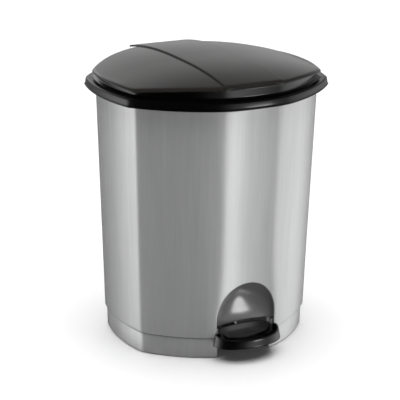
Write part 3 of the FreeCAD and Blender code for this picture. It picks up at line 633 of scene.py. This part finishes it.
# %% [markdown]
# A raised band two millimetres thick runs over the middle of the lid from the front lip to a
# hood above the hinge. It is a strip with its own rounded front end.

# %% Raised band and hood
ROUND, HOOD_END, OVERHANG = 4.0, 144.0, 0.8
RUN_ROWS = 69
across = soften([(-BAND_HALF, -0.6), (BAND_HALF, -0.6), (BAND_HALF, RAISE), (-BAND_HALF, RAISE)],
                [0.1, 0.1, 1.4, 1.4], 7)
front_reach = plan_radius(wall_angle(across[:, 0], BODY_TOP), LID_SCALE)
front_y = -np.sqrt(np.maximum(front_reach ** 2 - across[:, 0] ** 2, 1.0)) - OVERHANG
tuck = np.linspace(0, np.pi / 2, 9)[:, None]
run = np.linspace(0, 1, RUN_ROWS + 1)[1:, None]
start_y = front_y[None, :] + ROUND
along_y = np.concatenate([start_y - ROUND * np.cos(tuck), start_y + run * (HOOD_END - start_y)])
extra = np.concatenate([0.85 * ROUND * (1 - np.sin(tuck[:, 0])), np.zeros(RUN_ROWS)])
band_x = np.broadcast_to(across[None, :, 0], along_y.shape)
band_z = crown_height(band_x, along_y) + across[None, :, 1] - extra[:, None]
strip = np.stack([band_x, along_y, band_z], -1)
ends = [np.stack([ring, np.broadcast_to(ring.mean(0), ring.shape)]) for ring in (strip[0], strip[-1])]
lid_band = make_piece("lid_raised_band", [(strip, False, True)] + [(end, False, True) for end in ends])
dress(lid_band, lid_black, "lid", ["lid_cover"])

# %% [markdown]
# The skirt under the lip sits on the collar. Its top follows the crown, so it is tall at the
# front and low at the sides. At the back its lower edge lifts to clear the hinge.

# %% Lid skirt and hinge plate
HINGE = (0, 128.5, 335.5)
SKIRT_LOW, SKIRT_WALL, UNDER_COVER = 329.5, 2.4, 2.7
GAP_HALF, GAP_LOW = 50.0, 339.5
FLARE, FLARE_TOP, FLARE_HEIGHT = 0.03, 332.5, 3.0
KNUCKLE_X, KNUCKLE_RADIUS, KNUCKLE_BORE = (14.0, 23.5), 4.0, 2.05
level = np.linspace(0, 1, 25)[:, None] ** 1.5
gap_x = np.abs(top_reach * np.sin(THETA))
behind = np.cos(THETA) < 0
low_edge = np.where(behind & (gap_x < GAP_HALF), GAP_LOW, SKIRT_LOW)[None, :]
under = over_crown(np.full(1, 1.0), np.full(1, UNDER_COVER))[..., 2]
outer_z = low_edge + (under - low_edge) * level
flare_out = 1.0 + FLARE * np.clip((FLARE_TOP - outer_z) / FLARE_HEIGHT, 0, 1) ** 1.6
outer_wall = around(flare_out, outer_z)
inner_wall = around(flare_out - SKIRT_WALL / INSET_SPAN, outer_z)[::-1]
skirt = make_piece("lid_skirt", [(np.concatenate([outer_wall, inner_wall]), True, True)])
dress(skirt, collar_black, "lid", ["lid_frame"], bevel=0.4)
plate = block("lid_back_plate", (-46, 106, 339.0), (46, 122, 341.0), 0.5)
dress(plate, collar_black, "lid", ["lid_frame"])
for side, name in ((-1, "lid_knuckle_left"), (1, "lid_knuckle_right")):
    x0, x1 = sorted((side * KNUCKLE_X[0], side * KNUCKLE_X[1]))
    barrel = lathe(closed_cylinder(KNUCKLE_RADIUS, x0, x1, 0.5, bore=KNUCKLE_BORE), HINGE, "X")
    knuckle = make_piece(name, [(barrel, True, True)])
    dress(knuckle, collar_black, "lid", ["lid_frame"])
    web = block(name + "_web", (x0 + 0.1, 118.5, 334.8), (x1 - 0.1, 125.6, 340.0), 0.5)
    dress(web, collar_black, "lid", ["lid_frame"])

# %% [markdown]
# The pedal's tread is a scoop with a D-shaped plan: half an ellipse toward the foot and a
# straight back. Its section is carried round the D. Behind it the scoop goes on as a rounded
# heel under the foot recess: rings whose sine and cosine are raised to a power, which squares
# them off toward the outside.

# %% Pedal tread
TREAD_BACK, DISH_FLOOR, SIDE_RISE = -112.5, 24.0, 12.0
END_RISE, TIP_RISE = 3.0, 2.6
NECK_HALF, NECK_FRONT, NECK_BACK, NECK_LOW = 36, -117, -96, 21.0
NECK_FORWARD, HEEL_COLUMNS = 2.6, 61
around_d = np.linspace(0, 2 * np.pi, 220, endpoint=False)
front_lift = np.clip(np.sin(around_d), 0, 1)
section = np.array([
    # half width, reach, height
    (0.0, 0.0, 21.0), (30.0, 17.0, 21.0), (41.0, 25.0, 20.8), (44.0, 29.6, 19.4), (44.6, 30.2, 18.6),
    (45.6, 31.2, 18.5), (46.0, 31.5, 19.2), (45.5, 31.1, 22.0), (44.6, 30.5, 26.0), (43.6, 29.8, 29.4),
    (43.0, 29.2, 30.7), (42.0, 28.2, 31.0), (40.9, 27.1, 30.5), (40.0, 26.2, 29.2), (37.5, 24.0, 26.2),
    (34.5, 21.6, 24.6), (30.0, 18.4, 24.0), (14.0, 8.6, 24.0), (0.0, 0.0, 24.0)])
smooth = np.linspace(0, len(section) - 1, 73)
section = np.stack([np.interp(smooth, np.arange(len(section)), column) for column in section.T], -1)
for _ in range(2):
    section[1:-1] = 0.25 * section[:-2] + 0.5 * section[1:-1] + 0.25 * section[2:]
half, reach, rise = (section[:, k][:, None] for k in range(3))
tread_x = half * np.cos(around_d)
tread_y = TREAD_BACK - reach * front_lift
beside = np.clip((np.abs(tread_x) - 34.0) / 1.5, 0, 1)
low_back = DISH_FLOOR + SIDE_RISE * np.maximum(np.clip(front_lift * 6.0, 0, 1) ** 0.5, beside)
end_rise = END_RISE * (1 - front_lift[None, :]) ** 2 * np.clip((rise - 26.0) / 4.0, 0, 1)
tip_rise = TIP_RISE * front_lift[None, :] ** 2 * np.clip((22.0 - rise) / 3.0, 0, 1) * (half > 43.0)
tread_z = np.minimum(rise + end_rise, low_back) + tip_rise
tread = make_piece("pedal_tread_scoop", [(np.stack([tread_x, tread_y, tread_z], -1), False, True)])
dress(tread, pedal_black, "pedal", ["pedal_tread"])
# painted light: the neck under the dish floor takes the lighter copy of the pedal's black
neck = block("pedal_neck", (-NECK_HALF, NECK_FRONT, NECK_LOW), (NECK_HALF, NECK_BACK, DISH_FLOOR), 0.6)
dress(neck, pedal_dish_painted_light, "pedal", ["pedal_tread"])
heel_section = np.array([
    # half width, reach, height
    (0.0, 0.0, 24.05), (16.0, 5.0, 24.05), (24.0, 8.6, 24.3), (28.5, 11.0, 25.4), (31.0, 12.8, 27.6),
    (32.4, 13.8, 30.4), (33.2, 14.4, 33.2), (34.0, 15.0, 34.7), (35.0, 15.9, 34.9), (35.8, 16.4, 34.2),
    (36.0, 16.5, 32.0), (36.0, 16.5, 22.5), (35.0, 15.9, 21.5), (0.0, 0.0, 21.5)])
turn = np.concatenate([[0.0, 0.0], np.linspace(0, np.pi, HEEL_COLUMNS), [np.pi, np.pi]])
forward = NECK_FORWARD * np.concatenate([[1, 1], np.zeros(HEEL_COLUMNS), [1, 1]])
square = np.linspace(0.75, 0.45, len(heel_section))[:, None]
wide, deep, tall = (heel_section[:, k][:, None] for k in range(3))
heel = np.stack([wide * np.sign(np.cos(turn)) * np.abs(np.cos(turn)) ** square,
                 TREAD_BACK + deep * np.clip(np.sin(turn), 0, 1) ** square - forward,
                 tall + 0 * turn], -1)
heel[:, 0] = heel[:, 0].mean(0)
heel[:, -1] = heel[:, -1].mean(0)
# painted light: the heel of the dish takes the same lighter copy of the pedal's black
heel_piece = make_piece("pedal_heel", [(heel, False, False)])
dress(heel_piece, pedal_dish_painted_light, "pedal", ["pedal_tread"])

# %% [markdown]
# The inner bucket is closed at the bottom and hangs by a flange on the collar. Its section is
# a closed line that starts and ends on the axis.

# %% Inner bucket
LONG_EDGE, EDGE_ROWS = 40, 12
# distance out, height
bucket_mm = soften([(0, 41.0), (81.6, 41.0), (101.2, 329.0), (105.0, 329.0), (105.0, 331.5),
                    (99.4, 331.5), (79.6, 43.0), (0, 43.0)],
                   [0.1, 5.0, 0.6, 0.8, 0.8, 0.8, 4.0, 0.1], 5)
bucket_mm = np.concatenate([[(0.0, 41.0)], bucket_mm[5:-5], [(0.0, 43.0)]])
pieces = [np.linspace(a, b, EDGE_ROWS, endpoint=False) if np.hypot(*(b - a)) > LONG_EDGE else a[None]
          for a, b in zip(bucket_mm[:-1], bucket_mm[1:])]
fine = np.concatenate(pieces + [bucket_mm[-1:]])
bucket = make_piece("inner_bucket_wall", [(around(fine[:, 0] / INSET_SPAN, fine[:, 1]), False, True)])
dress(bucket, bucket_grey, "housing", ["inner_bucket"])

# %% [markdown]
# The linkage stays as the CAD made it, since its shapes are already the real ones. Each node
# gets a finish of its own kind: drawn wire, rolled strip, turned pin, paint or plastic. Only the
# steel pedal lever takes black paint as painted shade, so it stays dark under the bin.

# %% Finishes for the mechanism
node_finish = {
    # painted shade: the steel pedal lever takes the black paint, which stands for the shade it sits in
    # under the bin
    "push_rod": rod_steel, "bail_handle": rod_steel, "pedal_lever": bracket_black,
    "axle_clips": strap_steel, "pedal_axle": pin_steel, "hinge_pin": pin_steel,
    "clevis_pin": pin_steel, "bracket_screws": pin_steel, "arm_screws": pin_steel,
    "tread_screws": pin_steel, "hinge_bracket": bracket_black, "lift_arm": bracket_black,
    "rod_foot": guide_white, "rod_clevis": guide_white, "rod_guide_top": guide_white,
    "rod_guide_bottom": guide_white, "rubber_feet": foot_rubber, "bail_grip": grip_black,
}
for name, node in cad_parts.items():
    finish = node_finish.get(name, collar_black)
    node.data.materials.clear()
    node.data.materials.append(finish)
print(len(node_finish), "mechanism nodes finished")

# %% [markdown]
# A pale floor runs back out of sight, under a wide overhead light. The studio walls are dark
# with soft bright zones, and each zone is set where one facet mirrors it. One small soft box
# in front lights the foot recess. Floor and overhead light stay out of reflections, so the
# glossy plastic can go black.

# %% Floor and light
EULER = 2.71828
FLOOR_HALF = 14.0  # in metres, so its edge is out of sight


def make_floor():
    """One large square just under the feet, kept out of glossy reflections."""
    mesh = bpy.data.meshes.new("floor")
    corners = [(x * FLOOR_HALF, y * FLOOR_HALF, 0) for x, y in ((-1, -1), (1, -1), (1, 1), (-1, 1))]
    mesh.from_pydata(corners, [], [(0, 1, 2, 3)])
    floor = bpy.data.objects.new("floor", mesh)
    bpy.context.scene.collection.objects.link(floor)
    finish = Finish("floor_white", (0.93, 0.93, 0.93), 0.35, specular=0.25)
    cloud = finish.noise(3.0)
    finish.feed("Roughness", cloud * 0.06 + 0.32)
    mesh.materials.append(finish.material)
    floor.visible_glossy = False
    return floor


def toward(azimuth, elevation):
    """Unit vector from the bin toward a compass angle (0 is the pedal side) and a height angle."""
    azimuth, elevation = np.radians([azimuth, elevation])
    return np.array([np.sin(azimuth) * np.cos(elevation), -np.cos(azimuth) * np.cos(elevation),
                     np.sin(elevation)])


def soft_box(name, azimuth, elevation, distance, size, watts, aim):
    """Rectangular area light that looks at a point."""
    back = toward(azimuth, elevation)
    side = np.cross([0, 0, 1.0], back)
    side /= np.linalg.norm(side)
    columns = np.eye(4)
    columns[:3, 0], columns[:3, 1] = side, np.cross(back, side)
    columns[:3, 2], columns[:3, 3] = back, np.asarray(aim) + back * distance
    data = bpy.data.lights.new(name, "AREA")
    data.shape, data.size, data.size_y, data.energy = "RECTANGLE", size[0], size[1], watts
    light = bpy.data.objects.new(name, data)
    bpy.context.scene.collection.objects.link(light)
    light.matrix_world = Matrix(columns.tolist())
    return light


def overhead(strength, spread):
    """One broad source straight above: the floor gets the same light everywhere."""
    data = bpy.data.lights.new("overhead", "SUN")
    data.energy, data.angle = strength, np.radians(spread)
    light = bpy.data.objects.new("overhead", data)
    light.visible_glossy = False
    bpy.context.scene.collection.objects.link(light)
    return light


def studio_walls(base, lobes):
    """Brightness all round: a base plus lobes, e to the power sharpness times (cosine - 1)."""
    world = bpy.data.worlds.new("studio")
    world.use_nodes = True
    nodes = Nodes(world.node_tree)
    direction = nodes.node("ShaderNodeTexCoord", {}, {}, "Generated")
    total = base
    for azimuth, elevation, strength, sharpness in lobes:
        cosine = nodes.node("ShaderNodeVectorMath", {"operation": "DOT_PRODUCT"},
                            {0: direction, 1: toward(azimuth, elevation).tolist()}, "Value")
        total = total + EULER ** ((cosine - 1.0) * sharpness) * strength
    background = world.node_tree.nodes["Background"]
    background.inputs["Color"].default_value = (1.0, 1.0, 1.0, 1.0)
    world.node_tree.links.new(total.socket, background.inputs["Strength"])
    bpy.context.scene.world = world
    return len(lobes)


make_floor()
soft_box("box_front", 28, 9, 1.5, (0.46, 0.28), 2.4, (0, -0.10, 0.06))
overhead(4.1, 80)
lobes = studio_walls(0.004, [
    # azimuth, elevation, strength, sharpness
    (12, -21.5, 1.26, 60.0), (-14, -20, 0.15, 60.0), (32, -20, 0.40, 22.0), (22, 2, 0.46, 14.0),
    (68, -23, 0.45, 70.0), (96, -24, 1.02, 11.0), (74, 4, 0.45, 13.0), (-118, -20, 0.46, 12.0),
    (-120, 0, 1.30, 12.0), (-150, -20, 0.18, 10.0), (-150, 0, 0.12, 14.0), (172, -20, 0.06, 20.0),
    (150, 2, 0.16, 20.0), (148, 6, 0.34, 10.0), (178, 18, 1.05, 30.0), (150, 40, 0.05, 6.0)])
bpy.context.scene.view_settings.view_transform = "Standard"
print(lobes, "bright zones in the studio walls")
